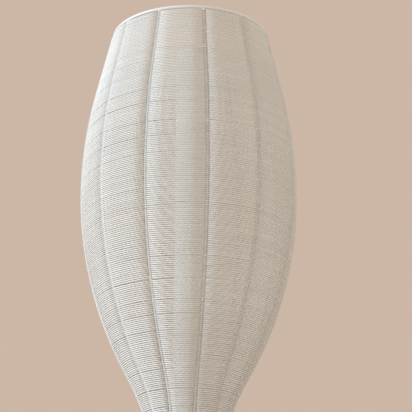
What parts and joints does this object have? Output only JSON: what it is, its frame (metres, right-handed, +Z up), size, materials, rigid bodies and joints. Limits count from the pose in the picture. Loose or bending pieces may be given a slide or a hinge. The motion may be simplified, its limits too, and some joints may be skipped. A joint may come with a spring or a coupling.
{
  "type": "floor lantern",
  "caption": "Waisted floor lantern of pale cord wound over a wire rib frame on a weighted plate, with an opal light column inside it.",
  "frame": {"origin": "on the floor under the light column, at the middle of the underside of the pads", "axes": "+Z up along the light column, -Y to the front, +X to the right seen from the front"},
  "size_m": [0.3399, 0.3399, 1.3995],
  "materials": {
    "pad_rubber": "matte",
    "plate_paint": "matte",
    "cover_paint": "satin",
    "dark_plastic": "matte",
    "pale_plastic": "satin",
    "turned_steel": "satin",
    "channel_aluminium": "satin",
    "screw_steel": "satin",
    "lamp_glass": "gloss",
    "board_white": "satin",
    "cap_aluminium": "satin",
    "pin_brass": "satin",
    "opal_acrylic": "satin",
    "opal_cap": "satin",
    "wire_brown": "satin",
    "wire_blue": "satin",
    "wire_green": "satin",
    "wound_cord": "matte",
    "frame_paint": "satin"
  },
  "bodies": {
    "lantern": {"base_plate": "plate_paint", "belly_cord_layer": "wound_cord", "belly_hoop": "frame_paint", "clip_screws": "screw_steel", "column_foot": "turned_steel", "cord_gland": "dark_plastic", "cover_screws": "screw_steel", "earth_screw": "screw_steel", "earth_tag": "pin_brass", "earth_wire": "wire_green", "foot_pads": "pad_rubber", "foot_ring": "frame_paint", "foot_screws": "screw_steel", "frame_clips": "frame_paint", "gland_nut": "dark_plastic", "holder_screws": "screw_steel", "lead_wire_line": "wire_brown", "lead_wire_neutral": "wire_blue", "lower_hoop": "frame_paint", "lower_lamp_holder": "pale_plastic", "lower_winding": "wound_cord", "neck_cord_layer": "wound_cord", "rib_01": "frame_paint", "rib_02": "frame_paint", "rib_03": "frame_paint", "rib_04": "frame_paint", "rib_05": "frame_paint", "rib_06": "frame_paint", "rib_07": "frame_paint", "rib_08": "frame_paint", "rib_09": "frame_paint", "rib_10": "frame_paint", "rib_11": "frame_paint", "rib_12": "frame_paint", "rim_ring": "frame_paint", "seat_washer": "pad_rubber", "shoulder_cord_layer": "wound_cord", "skirt_cord_layer": "wound_cord", "spine": "channel_aluminium", "spine_pin": "screw_steel", "terminal_block": "pale_plastic", "upper_lamp_holder": "pale_plastic", "upper_winding": "wound_cord", "waist_collar": "frame_paint", "waist_ring": "frame_paint", "waist_spokes": "frame_paint", "wiring_cover": "cover_paint"},
    "diffuser": {"diffuser_tube": "opal_acrylic"},
    "cap": {"top_cap": "opal_cap"},
    "lamp": {"lamp_glass": "lamp_glass", "led_board": "board_white", "lower_lamp_cap": "cap_aluminium", "upper_lamp_cap": "cap_aluminium", "lamp_pins": "pin_brass", "lower_rotor": "pale_plastic", "upper_rotor": "pale_plastic"}
  },
  "joints": [
    {"name": "diffuser_lift", "type": "slide", "parent": "lantern", "child": "diffuser", "axis": [0, 0, 1], "range_m": [0, 1.36]},
    {"name": "cap_pull", "type": "slide", "parent": "diffuser", "child": "cap", "axis": [0, 0, 1], "range_m": [0, 0.03]},
    {"name": "lamp_twist", "type": "hinge", "parent": "lantern", "child": "lamp", "pos_m": [0.004, 0, 0.7], "axis": [0, 0, 1], "range_deg": [0, 90]}
  ]
}
